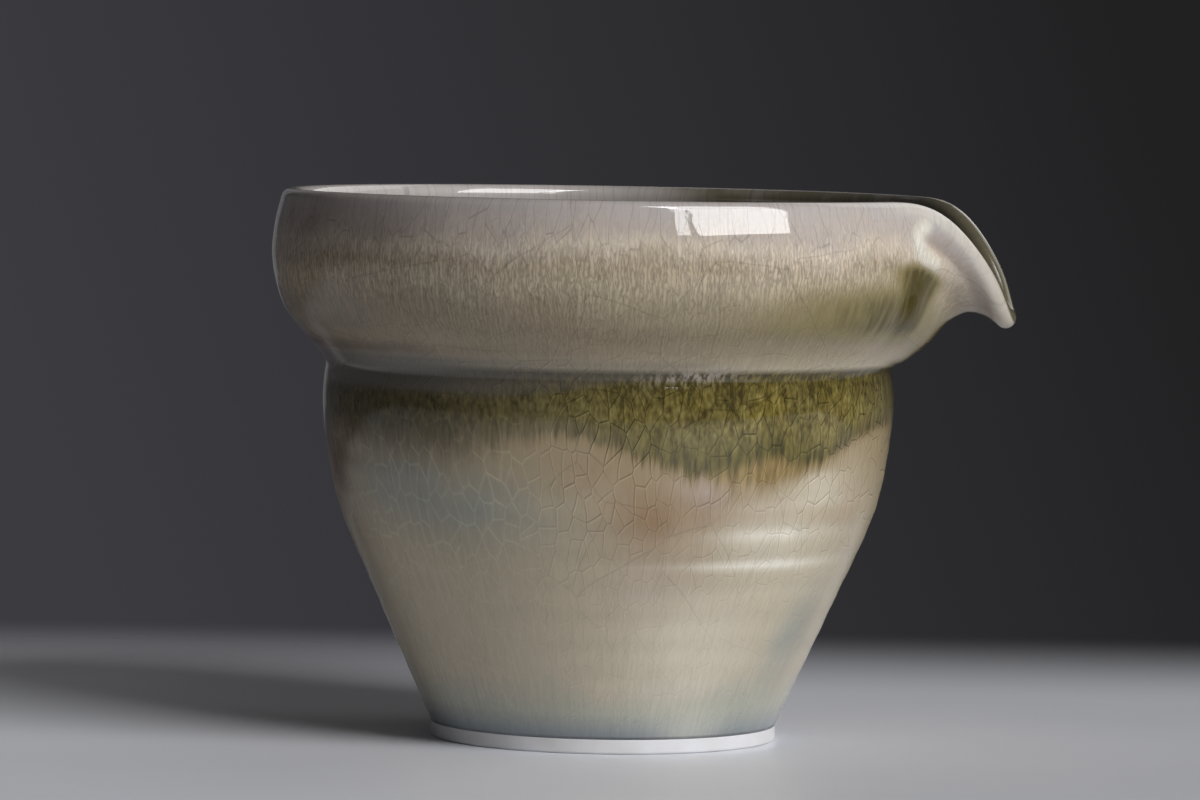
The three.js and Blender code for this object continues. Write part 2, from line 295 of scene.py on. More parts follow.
def slowWaves(angle, rise, seed, counts=(1, 2, 3, 5)):
    # Mean of sines with whole numbers of waves round the pot, between -1 and 1. Each starts anywhere and
    # turns with the height, by at most its twist, in radians for each mm.
    starts = np.random.default_rng(seed).uniform(0, 2 * np.pi, (len(counts), 2))
    twists = 0.07 + 0.03 * np.arange(len(counts))
    waves = [np.sin(n * angle + start + rise * twist * np.cos(lean))
             for n, twist, (start, lean) in zip(counts, twists, starts)]
    return sum(waves) / len(counts)


def wrapped(angle):
    # degrees from the spout, -180 to 180
    return np.degrees(np.arctan2(np.sin(angle), np.cos(angle)))


def levelAt(share):
    # height that a place on the wall would have had before the spout was pulled
    return alongCurve(plainCurve, share)[1]


def throwingGroove(angle, level):
    # sine of the height in one slow spiral, a pitch in each turn round the pot, a little uneven: 1 in the
    # middle of the groove, -1 on the ridge
    return np.sin(2 * np.pi * level / relief["ridgePitch"] + angle + slowWaves(angle, level, 1))


def runDown(angle):
    # How far below the neck the pooled glaze has run: an even way, a Gaussian hump on each side of the
    # spout, an eased step behind, and slow waves
    side = np.abs(wrapped(angle))
    beside = relief["runBeside"] * bell(side, *relief["besideHump"])
    behind = relief["runBehind"] * smoothstep(side, *relief["behindTurns"])
    return relief["run"] + beside + behind + relief["runWaver"] * slowWaves(angle, 0, 3, (2, 5, 9))


def reliefAt(angle, share):
    # depth below the stand-in surface: ridges left by the fingers in one slow spiral, an uneven glaze skin,
    # and the step where the pooled glaze ends. It fades out at the glaze line and at the rim.
    level = levelAt(share)
    ridges = (1 + throwingGroove(angle, level)) * between(level, *relief["ridgeHeights"])
    uneven = 1 + slowWaves(angle, level * 3, 2, (2, 3, 5, 8, 13))
    edge = runDown(angle) * (1 + relief["stepWaver"] * slowWaves(angle, 0, 4, (17, 29, 41)))
    step = between(wall["neckHeight"] - level - edge, *relief["stepDrops"])
    depth = relief["ridgeDepth"] * ridges + relief["skinDepth"] * uneven + relief["stepDepth"] * step
    return depth * between(level, *relief["reliefHeights"])


def outerFace(angle, share):
    # the glaze's outside: half the wall's thickness out, less the stand-in and the relief
    return thicknessAt(share) / 2 - wall["standIn"] - reliefAt(angle, share)


def innerFace(angle, share):
    # the glaze's inside: half the wall's thickness in, less the stand-in
    return -thicknessAt(share) / 2 + wall["standIn"]


def outerSeat(angle, share):
    # the clay's outside: half the wall's thickness out, less the coat on it
    return thicknessAt(share) / 2 - outerGlazeAt(share)


def innerSeat(angle, share):
    # the clay's inside: half the wall's thickness in, less the liner
    return linerGlazeAt(share) - thicknessAt(share) / 2


def meshFromRings(name, rings, material, attributes=None):
    # Rings of equal count joined by quads, and their marks as point attributes. The first and the last ring
    # lie on the axis and become one point each, joined by triangles.
    rows, columns = rings.shape[:2]
    body = rings[1:-1].reshape(-1, 3)
    points = np.vstack([rings[0, :1], body, rings[-1, :1]]) * mm + [axisX, 0, 0]
    here = np.arange(columns)
    after = (here + 1) % columns
    row = np.arange(rows - 3)[:, None] * columns + 1
    quads = np.stack([row + here, row + after, row + columns + after, row + columns + here], axis=-1)
    last = len(points) - 1
    top = (rows - 3) * columns + 1
    first = np.stack([np.zeros_like(here), after + 1, here + 1], axis=-1)
    final = np.stack([top + here, top + after, np.full_like(here, last)], axis=-1)
    mesh = bpy.data.meshes.new(name)
    faces = [*first.tolist(), *quads.reshape(-1, 4).tolist(), *final.tolist()]
    mesh.from_pydata(points.tolist(), [], faces)
    mesh.polygons.foreach_set("use_smooth", np.ones(len(mesh.polygons), bool))
    for key, values in (attributes or {}).items():
        values = np.concatenate([values[0, :1], values[1:-1].ravel(), values[-1, :1]])
        mesh.attributes.new(key, "FLOAT", "POINT").data.foreach_set("value", values)
    mesh.materials.append(material)
    mesh.update()
    made = bpy.data.objects.new(name, mesh)
    bpy.context.scene.collection.objects.link(made)
    return made


def linear(hexColour):
    # sRGB hex to linear light, by the piecewise sRGB curve
    values = [int(hexColour[i:i + 2], 16) / 255 for i in (1, 3, 5)]
    return (*[v / 12.92 if v <= 0.04045 else ((v + 0.055) / 1.055) ** 2.4 for v in values], 1)


def addNode(tree, kind, sockets=(), out=0, stops=(), **settings):
    # adds a shader node with its settings, its values and its links, and returns one of its outputs
    made = tree.nodes.new("ShaderNode" + kind)
    for key, value in settings.items():
        setattr(made, key, value)
    for socket, value in dict(sockets).items():
        if isinstance(value, bpy.types.NodeSocket):
            tree.links.new(value, made.inputs[socket])
        else:
            made.inputs[socket].default_value = linear(value) if isinstance(value, str) else value
    for i, (position, colour) in enumerate(stops):
        element = made.color_ramp.elements[i] if i < 2 else made.color_ramp.elements.new(position)
        element.position, element.color = position, linear(colour)
    return made.outputs[out] if len(made.outputs) else made


def newMaterial(name):
    # an empty material and the function that adds its nodes
    made = bpy.data.materials.new(name)
    made.use_nodes = True
    made.node_tree.nodes.clear()
    return made, partial(addNode, made.node_tree)


porcelain = {
    "colour": "#d9d9dc", "stain": "#cbc9c8", "roughness": 0.6,
    "grainsPerMetre": 1800, "stainsPerMetre": 120, "toothDepth": 0.0001,
}


def bisqueMaterial():
    # Fired white porcelain left bare: matt and cool, with faint warmer stains and a fine tooth that is drawn
    # coarser than the real one to show at all
    material, add = newMaterial("barePorcelain")
    place = add("TexCoord", out="Object")
    grain = add("TexNoise", {"Vector": place, "Scale": porcelain["grainsPerMetre"], "Detail": 3})
    stain = add("TexNoise", {"Vector": place, "Scale": porcelain["stainsPerMetre"], "Detail": 3})
    colour = add("ValToRGB", {"Fac": stain}, stops=[(0.3, porcelain["stain"]), (0.6, porcelain["colour"])])
    bump = add("Bump", {"Height": grain, "Strength": 0.15, "Distance": porcelain["toothDepth"]})
    finish = {"Base Color": colour, "Roughness": porcelain["roughness"], "Normal": bump}
    add("OutputMaterial", {"Surface": add("BsdfPrincipled", finish)})
    return material


ashGlaze = {
    "bands": [  # height of the unpulled wall in mm, colour of the glaze there
        (1.9, "#787e82"), (3.2, "#8f9594"), (5.5, "#adad9f"), (10, "#beb39e"), (22, "#bcb098"),
        (33, "#b4a68c"), (41, "#a08f6f"), (48, "#8c8062"), (49.6, "#c4b89e"), (51.8, "#a89a80"),
        (54, "#998b72"), (57.5, "#a0927a"), (60.5, "#bcae94"), (62.7, "#bbac95"), (65, "#d6c9b7"),
        (67, "#c2b6ac"), (71, "#b8b2b1"),
    ],
    # The crease's grey is painted shade, the smoky brown partly painted shade, the milky white partly
    # painted sheen and highlight
    "blue": "#929992", "blush": "#94795a", "fold": "#6a655d", "smoke": "#5d4c3e", "milk": "#ebe6d7",
    # The lilac is partly a painted reflection, the froth a painted highlight
    "lilac": "#bbaba6", "froth": "#a39a92", "olive": "#7f7446", "deepOlive": "#4f4620",
    # The inner rim's dark olive is painted shade on the inner rim and the lip
    "liner": "#bab4b0", "linerPool": "#b0ab90", "innerRim": "#5d5849",
    # The pool's colours go from their dark flecks to their pale ones
    "golden": [(0.34, "#463e1e"), (0.46, "#685c2c"), (0.57, "#81753e"), (0.7, "#9d9159")],
    "umber": [(0.36, "#3e3827"), (0.62, "#605940")],
    "greyOlive": [(0.36, "#3c381a"), (0.62, "#6b6230")],
    "brown": [(0.36, "#72664f"), (0.62, "#8d816a")],
    "drip": [(0.36, "#7d683f"), (0.62, "#9b8557")],
    # Widths and lengths in mm. The finest are about as coarse as the render's pixels, to show at all.
    "streaks": {
        "streak": (2, 14), "fine": (0.67, 4.8), "fleck": (0.5, 1.0), "broad": (1.8, 5.5),
        "tick": (0.26, 0.95), "hair": (0.33, 4.5),
    },
    "fur": (0.52, 2.7), "cell": (1.8, 3.4), "rim": (1.5, 6.0), "long": (9.0, 13.0),
    "crackWidth": 0.075, "glintShift": 0.16,  # mm either side of a crack, and to the light edge beside it
    "cloudsPerMm": 0.11, "furBendsPerMm": 0.7,
    "cloudDrift": 5, "streakDrift": 3, "crackBend": 2.5,  # mm
    "furBend": (1.6, 1.2, 0), "furStagger": 5,  # in cells of the fur
    # How much the noises change what they are added to
    "furPatches": 0.6, "oliveStreaks": 0.9, "hairRagged": 0.36, "broadRagged": 0.32, "fleckShare": 0.65,
    "depthDark": -0.25, "surfacePale": 0.17, "dripDepth": -0.24, "glint": 0.27,
    "fleckTooth": 3, "streakTooth": 0.5, "crackTooth": -0.2, "toothDepth": 0.00004,
    "roughness": 0.015, "bellyRoughness": 0.2, "ior": 1.5,
}
unrolledRadius = 38  # mm, of the cylinder on which the pattern is laid out
patternStart = 50  # mm, the part of the crackle's pattern that is used


def glazeMaterial():
    # Ash glaze over porcelain: glassy and crackled, streaked where it ran, olive where it ran together.
    # The mesh carries how far round and along the wall a place is, its height before the spout was
    # pulled, and how much of each colour shows there. The colours are laid over one another in order.
    material, add = newMaterial("ashGlaze")
    g = ashGlaze
    times, plus, timesPlus = ({"operation": kind} for kind in ("MULTIPLY", "ADD", "MULTIPLY_ADD"))
    scaled, greater = {"operation": "SCALE"}, {"operation": "MAXIMUM"}
    colours, eased = {"data_type": "RGBA", "out": 2}, {"interpolation_type": "SMOOTHSTEP"}
    cells = {"out": "Distance", "feature": "DISTANCE_TO_EDGE", "voronoi_dimensions": "2D"}
    mark = {key: add("Attribute", out="Fac", attribute_name=key) for key in markNames}

    # The place in millimetres in the round, on the unrolled wall or the bowl's flat bottom, and on a ring
    place = add("VectorMath", {0: add("TexCoord", out="Object"), 1: (axisX, 0, 0)}, operation="SUBTRACT")
    place = add("VectorMath", {0: place, "Scale": 1 / mm}, **scaled)
    flat = add("VectorMath", {0: place, 1: (1, 1, 0)}, **times)
    unrolled = add("CombineXYZ", {0: mark["around"], 1: mark["along"]})
    sheet = add("Mix", {0: mark["bottom"], 4: unrolled, 5: flat}, out=1, data_type="VECTOR")
    ring = add("VectorMath", {0: flat}, operation="NORMALIZE")
    ring = add("VectorMath", {0: ring, "Scale": unrolledRadius}, **scaled)
    cloud = add("TexNoise", {"Vector": place, "Scale": g["cloudsPerMm"], "Detail": 3})

    # Streaks run straight down: noise on the ring, stretched along the wall by its length over its width
    noise = {}
    for key, (width, length) in g["streaks"].items():
        down = add("CombineXYZ", {2: add("Math", {0: mark["along"], 1: width / length}, **times)})
        at = add("VectorMath", {0: ring, 1: down}, **plus)
        noise[key] = add("TexNoise", {"Vector": at, "Scale": 1 / width, "Detail": 2.5})
    fine = noise["fine"]

    # Bands of colour by height, their borders wandering with the clouds and the streaks to both sides
    lowest, highest = g["bands"][0][0], g["bands"][-1][0]
    drift = -(g["cloudDrift"] + g["streakDrift"]) / 2
    drift = add("Math", {0: cloud, 1: g["cloudDrift"], 2: drift}, **timesPlus)
    drift = add("Math", {0: fine, 1: g["streakDrift"], 2: drift}, **timesPlus)
    drift = add("Math", {0: drift, 1: mark["wander"], 2: mark["level"]}, **timesPlus)
    drift = add("MapRange", {"Value": drift, "From Min": lowest, "From Max": highest})
    stops = [((height - lowest) / (highest - lowest), colour) for height, colour in g["bands"]]
    colour = add("ValToRGB", {"Fac": drift}, stops=stops)
    lined = add("Mix", {0: mark["linerPool"], 6: g["liner"], 7: g["linerPool"]}, **colours)
    colour = add("Mix", {0: mark["inside"], 6: colour, 7: lined}, **colours)

    # Clouds of the kiln's colouring on the belly, with painted shade on the rim and the side away from the
    # window, a painted reflection and painted sheen
    veil = {"Value": cloud, "From Min": 0.25, "From Max": 0.75, "To Min": 0.55, "To Max": 1}
    veil = add("MapRange", veil, **eased)
    for key in ("innerRim", "blue", "blush", "smoke", "lilac", "milk"):
        share = add("Math", {0: mark[key], 1: veil}, **times)
        colour = add("Mix", {0: share, 6: colour, 7: g[key]}, **colours)

    # Fur: narrow light cells with darker edges, where the glaze broke into streaks
    furAt = add("VectorMath", {0: unrolled, 1: (1 / g["fur"][0], 1 / g["fur"][1], 0)}, **times)
    bend = add("TexNoise", {"Vector": place, "Scale": g["furBendsPerMm"]}, out=1)
    bend = add("VectorMath", {0: bend, 1: g["furBend"]}, **times)
    furAt = add("VectorMath", {0: bend, 1: furAt}, **plus)
    stagger = add("CombineXYZ", {1: add("Math", {0: fine, 1: g["furStagger"]}, **times)})
    furAt = add("VectorMath", {0: furAt, 1: stagger}, **plus)
    fur = add("TexVoronoi", {"Vector": furAt, "Scale": 1}, **cells)
    fur = add("MapRange", {"Value": fur, "From Max": 0.36, "To Min": -0.28, "To Max": 0.1}, **eased)
    tick = {"Value": noise["tick"], "From Min": 0.34, "From Max": 0.6, "To Min": -0.14, "To Max": 0.05}
    tick = add("MapRange", tick, **eased)
    furHere = add("Math", {0: noise["streak"], 1: g["furPatches"], 2: -g["furPatches"] / 2}, **timesPlus)
    furHere = add("Math", {0: furHere, 1: mark["fur"]}, use_clamp=True, **plus)
    streaky = {"Value": fine, "From Min": 0.3, "From Max": 0.7, "To Min": 0.955, "To Max": 1.035}
    streaky = add("MapRange", streaky)
    shade = add("Math", {0: add("Math", {0: fur, 1: tick}, **plus), 1: furHere, 2: streaky}, **timesPlus)
    colour = add("VectorMath", {0: colour, "Scale": shade}, **scaled)

    # Olive where the glaze gathers on the collar, in the valleys beside the spout and in its trough, where
    # it also paints the shade deep in the channel
    olive = add("Math", {0: fine, 1: g["oliveStreaks"], 2: 1 - g["oliveStreaks"] / 2}, **timesPlus)
    olive = add("Math", {0: olive, 1: mark["olive"]}, use_clamp=True, **times)
    for key, start, end, most in (("olive", 0, 0.6, 0.8), ("deepOlive", 0.45, 0.95, 1)):
        share = {"Value": olive, "From Min": start, "From Max": end, "To Max": most}
        share = add("MapRange", share, **eased)
        colour = add("Mix", {0: share, 6: colour, 7: g[key]}, **colours)

    # Pooled glaze with a ragged edge: drips, then a thin grey olive, then flecked gold or umber in its depth
    ragged = -(g["hairRagged"] + g["broadRagged"]) / 2
    for key in ("hair", "broad"):
        ragged = add("Math", {0: noise[key], 1: g[key + "Ragged"], 2: ragged}, **timesPlus)
    deep = add("Math", {0: ragged, 1: mark["ragged"], 2: mark["pool"]}, **timesPlus)
    pooled = add("Math", {0: deep, 1: mark["crisp"]}, **times)
    pooled = {"Value": pooled, "From Min": -0.1, "From Max": 0.15, "To Max": mark["pooled"]}
    pooled = add("MapRange", pooled, **eased)
    flecks = add("Math", {0: noise["broad"], 1: 1 - g["fleckShare"]}, **times)
    flecks = add("Math", {0: noise["fleck"], 1: g["fleckShare"], 2: flecks}, **timesPlus)
    paler = add("Math", {0: deep, 1: g["depthDark"], 2: g["surfacePale"]}, **timesPlus)
    paler = add("Math", {0: paler, 1: flecks}, **plus)
    gilt = add("MapRange", {"Value": cloud, "From Min": 0.4, "From Max": 0.6, "To Min": 0.65}, **eased)
    gilt = add("Math", {0: gilt, 1: mark["gold"]}, **times)
    zones = []
    for plain, rich, by, share in (("brown", "drip", fine, mark["gold"]),
                                   ("brown", "greyOlive", fine, mark["gold"]),
                                   ("umber", "golden", paler, gilt)):
        plain, rich = (add("ValToRGB", {"Fac": by}, stops=g[key]) for key in (plain, rich))
        zones.append(add("Mix", {0: share, 6: plain, 7: rich}, **colours))
    pool, thin, thick = zones
    settled = add("Math", {0: mark["drips"], 1: g["dripDepth"], 2: deep}, **timesPlus)
    for zone, start, end in ((thin, -0.02, 0.16), (thick, 0.1, 0.5)):
        share = add("MapRange", {"Value": settled, "From Min": start, "From Max": end}, **eased)
        pool = add("Mix", {0: share, 6: pool, 7: zone}, **colours)
    colour = add("Mix", {0: pooled, 6: colour, 7: pool}, **colours)
    # Painted shade and dull reflection in the crease under the collar
    colour = add("Mix", {0: mark["fold"], 6: colour, 7: g["fold"]}, **colours)
    # A painted highlight along the pool's top in the crease, broken up by the flecks
    froth = {"Value": flecks, "From Min": 0.44, "From Max": 0.56, "To Max": mark["froth"]}
    froth = add("MapRange", froth, **eased)
    colour = add("Mix", {0: froth, 6: colour, 7: g["froth"]}, **colours)

    # Crackle in three sizes on the bent sheet, its lines dark or pale, the cells' with a light edge beside
    bent = add("TexNoise", {"Vector": place, "Scale": g["cloudsPerMm"], "Detail": 1}, out=1)
    bent = add("VectorMath", {0: bent, 1: (g["crackBend"], g["crackBend"], 0)}, **times)
    bent = add("VectorMath", {0: bent, 1: sheet}, **plus)
    line = {}
    for key, size in (("cell", "cell"), ("glint", "cell"), ("rim", "rim"), ("long", "long")):
        width, length = g[size]
        start = patternStart + (g["glintShift"] if key == "glint" else 0)
        at = add("VectorMath", {0: bent, 1: (start, start, 0)}, **plus)
        at = add("VectorMath", {0: at, 1: (1 / width, 1 / length, 0)}, **times)
        away = add("TexVoronoi", {"Vector": at, "Scale": 1}, **cells)
        faded = 2 * g["crackWidth"] / ((width + length) / 2)  # in cells, where the line has faded out
        away = add("MapRange", {"Value": away, "From Max": faded, "To Min": 1, "To Max": 0}, **eased)
        line[key] = add("Math", {0: away, 1: mark[size + "Crack"]}, **times)
    patchy = {"Value": cloud, "From Min": 0.3, "From Max": 0.55, "To Min": 0.5, "To Max": 1}
    patchy = add("MapRange", patchy, **eased)
    for key in ("cell", "glint"):
        line[key] = add("Math", {0: line[key], 1: patchy}, **times)
    dark = line["cell"]
    for key in ("rim", "long"):
        dark = add("Math", {0: dark, 1: line[key]}, **greater)
    # The tone darkens the colour under the painted shadow on the side turned from the window
    shade = add("Math", {0: dark, 1: mark["crackTint"], 2: mark["tone"]}, **timesPlus)
    shade = add("Math", {0: line["glint"], 1: g["glint"], 2: shade}, **timesPlus)
    colour = add("VectorMath", {0: colour, "Scale": shade}, **scaled)

    # The pool's flecks stand up a little, the streaks less, and the cracks are sunk
    tooth = add("Math", {0: flecks, 1: g["fleckTooth"]}, **times)
    tooth = add("Math", {0: tooth, 1: pooled}, **times)
    for part, height in ((fine, g["streakTooth"]), (dark, g["crackTooth"])):
        tooth = add("Math", {0: part, 1: height, 2: tooth}, **timesPlus)
    bump = add("Bump", {"Height": tooth, "Strength": 0.2, "Distance": g["toothDepth"]})
    spread = g["bellyRoughness"] - g["roughness"]
    rough = add("Math", {0: mark["satin"], 1: spread, 2: g["roughness"]}, **timesPlus)
    finish = {"Base Color": colour, "Roughness": rough, "IOR": g["ior"], "Normal": bump}
    add("OutputMaterial", {"Surface": add("BsdfPrincipled", finish)})
    return material


clouds = {
    # Strength, turn from the spout (the photograph's side is minus) and height of each cloud's middle, its
    # spreads in turn and height, and how many mm it climbs in each degree
    "blue": [(0.9, -120, 33.5, 27, 5.2, -0.1), (1, -22, 14.5, 9, 5.5), (0.45, -36, 7, 14, 4),
             (1, 95, 28, 22, 5, 0.1), (0.8, 165, 34, 20, 5)],
    "blush": [(1.15, -66, 32.3, 14, 5), (0.4, -64, 24.5, 14, 6), (0.5, -50, 32, 10, 2), (0.5, -20, 31, 8, 5),
              (0.5, -84, 37, 9, 3), (0.5, -160, 36, 14, 4), (1, 60, 32, 15, 4), (1, 135, 33, 18, 4)],
    # The lilac clouds are a pale tint, the one nearest the front a painted reflection of the table's glint
    "lilac": [(0.9, -60, 36, 5, 3), (0.35, -72, 21, 10, 4), (0.6, 75, 31, 5, 3)],
    # The froth is a painted highlight along the pool's top in the crease
    "froth": [(1, -62, 49.2, 8, 0.8, 0.06), (1, 50, 49.3, 10, 0.9)],
    # The smoky brown is partly painted shade, darkest on the side turned from the window and under the
    # collar there
    "smoke": [(0.7, -146, 67, 42, 7), (1, -142, 51.5, 42, 1.2), (0.9, -153, 40, 14, 7),
              (0.6, -160, 25, 17, 13), (0.25, -16, 16, 8, 8), (0.4, 110, 62, 30, 7)],
    # The milk in the groove is partly painted sheen on the belly beside the spout
    "grooveMilkAndSheen": [(1, -46, 29, 10, 2.8), (0.8, -33, 34.6, 11, 1.6), (0.5, -34, 27, 18, 6),
                   (0.8, -44, 24.8, 19, 0.6), (1, 38, 25, 22, 7), (0.6, 150, 22, 30, 8)],
    "evenMilk": [(0.5, -56, 14, 16, 8), (0.4, -50, 2.6, 10, 2.5)],
    # Painted shadow on the side turned from the window
    "shadow": [(0.38, -132, 42.5, 22, 4.5), (0.3, -140, 54.8, 20, 2.6)],
}
flow = {
    # Where the glaze gathers, in degrees from the spout either way and mm of height. A hump is given by its
    # spread and its middle, a ramp by where it is 0 and where it is 1, a plateau by the ends of two ramps.
    "valley": 0.98, "valleyHump": (8.5, 16), "valleyTurns": (6, 11), "valleyHeights": (51, 55.5, 62, 64.5),
    "under": (0.5, 0.8), "underMost": (14, 22), "underHump": (36, 30),
    "underHeights": (51.5, 55.5, 57.5, 63),
    "keel": 0.5, "keelHump": (7, 0), "keelHeights": (50, 54, 58, 66),
    "troughHump": (15, 0), "troughHeights": (45, 55, 68.6, 70.4),
    # The rim's whitening by the spout is a painted highlight along the lip
    "ridgeMilkAndSheen": 0.45, "rimHighlight": 0.45, "rimHighlightTurns": (30, 16), "rimHighlightHeights": (69, 70.1),
    "driftHeights": (4, 8), "steadyHeights": (46, 48, 51, 54), "linerPoolHeights": (5, 36),
    "lipShade": 0.8, "lipHump": (5, 0), "lipHeights": (58, 67),
    # The inner rim's darkening by the spout is painted shade
    "innerRim": 1.3, "innerRimShadeTurns": (70, 120), "innerRimShadeHeights": (55, 66),
    "dentBlush": 0.35, "lipBlush": 0.45, "lipBlushHump": (9, 0), "lipBlushHeights": (62, 69),
    "fur": 0.85, "furHump": (4.2, 62), "lowFur": 0.35, "lowFurHump": (6, 56), "leastFur": 0.12,
    "lipFur": 0.4, "furTurns": (6, 26),
    "spoutRagged": 0.45, "raggedTurns": (50, 85), "raggedDepths": (0.1, 0.6),
    "backSoft": 0.65, "softTurns": (80, 115), "poolTop": (-1.3, -0.6),
    # Where the painted shade in the crease under the collar lies
    "foldShadeTop": (-2.8, 2.4), "foldShadeTopTurns": (38, 105), "foldShadeEdge": (-0.5, 0.7), "foldShadeHeights": (50.2, 51.4),
    "fold": (0.4, 0.95), "foldShadeDeepens": (85, 125), "foldShadeTurns": (52, 66),
    "dripHump": (9, 47), "leastGold": 0.15, "goldHump": (38, 48),
    "leastCells": 0.2, "cellHump": (12, 38), "collarCells": -0.1, "collarCellHeights": (50, 60),
    "darkCrack": -0.45, "paleCrack": 0.2, "paleCrackTurns": (84, 106), "paleCrackHeights": (43, 50),
    "poolCrack": -0.35, "poolCrackTurns": (100, 80), "poolCrackHeights": (37, 42, 48, 50),
    "rimCracks": 0.6, "rimCrackHeights": (62, 67), "lipCracks": 0.35, "rimCrackTurns": (12, 40),
    "longCracks": (0.4, 0.15), "longCrackHeights": (24, 14),
    "satinHeights": (48, 33), "valleySatin": 0.5,
    "rimSatin": 0.6, "rimSatinTurns": (52, 34), "rimSatinHeights": (67, 70),
}


def cloudAt(angle, level, strength, turn, height, turnSpread, heightSpread, climb=0):
    # a Gaussian patch in the turn from the spout and in height, its middle climbing evenly with the turn
    away = wrapped(angle - math.radians(turn))
    return strength * bell(away, turnSpread) * bell(level - height - climb * away, heightSpread)


def glazeMarks(angle, share, inside):
    # What the glaze does at each place, and where shade, highlights, reflections and sheen are painted on
    # it:
    # products of humps, ramps and plateaus of the turn and the height, and sums of clouds. angle and share
    # are as for the wall, inside is 0 or 1, all grids of one shape. The half of the pot that the photograph
    # doesn't show has clouds of its own.
    f = flow
    level, side = levelAt(share), np.abs(wrapped(angle))
    drop, run = wall["neckHeight"] - level, runDown(angle)
    outside = 1 - inside
    dent, crescent = dentAt(side, level)
    cloud = {key: sum(cloudAt(angle, level, *values) for values in group) for key, group in clouds.items()}

    def hump(key):
        # hump of the turn
        return bell(side, *f[key])

    def turns(key):
        # ramp of the turn
        return smoothstep(side, *f[key])

    def heights(key):
        # ramp or plateau of the height
        return (smoothstep if len(f[key]) == 2 else between)(level, *f[key])

    # Olive in the valleys, under the collar's swell beside the spout, on the keel and in the spout's trough,
    # where it also paints the channel's shade
    valley = f["valley"] * hump("valleyHump") * turns("valleyTurns") * heights("valleyHeights")
    under = mix(*f["under"], hump("underMost")) * hump("underHump") * heights("underHeights")
    keel = f["keel"] * hump("keelHump") * heights("keelHeights")
    trough = inside * hump("troughHump") * heights("troughHeights")

    # Milky glaze with painted sheen in the throwing groove, and painted highlights on the dents' crescents
    # and round the rim by the spout
    groove = (1 + throwingGroove(angle, level)) / 2
    milk = cloud["grooveMilkAndSheen"] * mix(f["ridgeMilkAndSheen"], 1, groove**2) + cloud["evenMilk"] + crescent
    milk = milk + f["rimHighlight"] * heights("rimHighlightHeights") * turns("rimHighlightTurns")

    # Painted shade on the lip outside and on the inner rim by the spout, with a little blush on the lip
    lip = f["lipShade"] * hump("lipHump") * heights("lipHeights")
    innerRim = f["innerRim"] * heights("innerRimShadeHeights") * (1 - turns("innerRimShadeTurns"))
    lipBlush = f["lipBlush"] * hump("lipBlushHump") * heights("lipBlushHeights")

    # Painted shade and dull reflection in the crease under the collar, over the pool's top, away from the
    # spout
    foldShadeTop = mix(*f["foldShadeTop"], turns("foldShadeTopTurns"))
    fold = mix(*f["fold"], turns("foldShadeDeepens")) * smoothstep(foldShadeTop - drop, *f["foldShadeEdge"])
    fold = fold * turns("foldShadeTurns") * (1 - heights("foldShadeHeights"))

    # Cracks are dark, darkest in the pool, and pale on the belly away from the spout
    pale = turns("paleCrackTurns") * (1 - heights("paleCrackHeights"))
    tint = mix(f["darkCrack"], f["paleCrack"], pale)
    tint = tint + f["poolCrack"] * heights("poolCrackHeights") * turns("poolCrackTurns")
    rimCracks = f["rimCracks"] * mix(f["lipCracks"], 1, turns("rimCrackTurns"))

    # Glassy on the collar, satin on the belly, in the valleys and on the rim by the spout
    satin = outside * np.maximum(heights("satinHeights"), f["valleySatin"] * valley)
    rimSatin = f["rimSatin"] * heights("rimSatinHeights") * turns("rimSatinTurns")

    marks = {
        "level": level,
        "around": np.radians(side) * unrolledRadius,
        "along": (share + inside * 2 * (1 - share)) * wallLength,  # up the outside, on down the inside
        "inside": inside,
        "bottom": 0 * level,
        "wander": heights("driftHeights") * (1 - heights("steadyHeights")),
        "linerPool": 1 - heights("linerPoolHeights"),
        "innerRim": mix(lip, innerRim, inside),
        "blue": cloud["blue"],
        "blush": cloud["blush"] + f["dentBlush"] * dent + lipBlush,
        "lilac": cloud["lilac"],
        "froth": cloud["froth"],
        "smoke": cloud["smoke"],
        "milk": milk,
        "fur": (f["fur"] * bell(level, *f["furHump"]) + f["lowFur"] * bell(level, *f["lowFurHump"])
                + f["leastFur"]) * mix(f["lipFur"], 1, turns("furTurns")),
        "olive": np.maximum(outside * np.maximum(np.maximum(valley, under), keel), trough),
        "pool": np.clip(1 - drop / run, -1, 1),
        "ragged": mix(f["spoutRagged"], 1, turns("raggedTurns"))
                  * smoothstep(drop / run, *f["raggedDepths"]),
        "crisp": 1 - f["backSoft"] * turns("softTurns"),
        "pooled": smoothstep(drop, *f["poolTop"]),
        "fold": fold,
        "drips": hump("dripHump"),
        "gold": mix(f["leastGold"], 1, hump("goldHump")),
        "cellCrack": mix(f["leastCells"], 1, bell(level, *f["cellHump"]))
                     + f["collarCells"] * heights("collarCellHeights"),
        "crackTint": tint,
        "tone": 1 - cloud["shadow"],
        "rimCrack": rimCracks * heights("rimCrackHeights"),
        "longCrack": mix(*f["longCracks"], heights("longCrackHeights")),
        "satin": np.maximum(satin, rimSatin),
    }
    for key, values in marks.items():
        marks[key] = values * (outside if key in outsideMarks else np.ones_like(angle))
    return marks


outsideMarks = ("blue", "blush", "lilac", "froth", "smoke", "milk", "fur", "pooled", "fold")
markNames = tuple(glazeMarks(np.zeros((2, 2)), np.ones((2, 2)), np.zeros((2, 2))))

